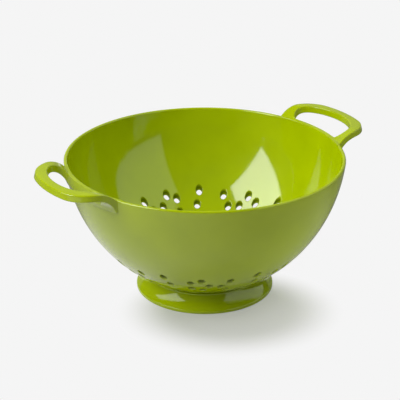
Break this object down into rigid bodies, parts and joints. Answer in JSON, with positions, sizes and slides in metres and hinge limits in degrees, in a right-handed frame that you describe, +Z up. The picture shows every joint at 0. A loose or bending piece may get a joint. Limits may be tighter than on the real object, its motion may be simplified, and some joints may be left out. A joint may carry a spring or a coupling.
{
  "type": "colander",
  "caption": "Round footed melamine colander: a perforated half-ellipsoid bowl on a flared foot ring, with upswept loop handles, for draining and rinsing food.",
  "frame": {"origin": "middle of the foot ring's base, on the table", "axes": "+Z up along the bowl's axis, +X towards the right handle"},
  "size_m": [0.305, 0.2396, 0.1299],
  "materials": {
    "melamine": "polished moulded lime green",
    "bond": "cured adhesive"
  },
  "bodies": {
    "root": {"bowl": "melamine", "handle_right": "melamine", "handle_left": "melamine", "foot_ring": "melamine", "foot_bond": "bond"}
  },
  "joints": []
}
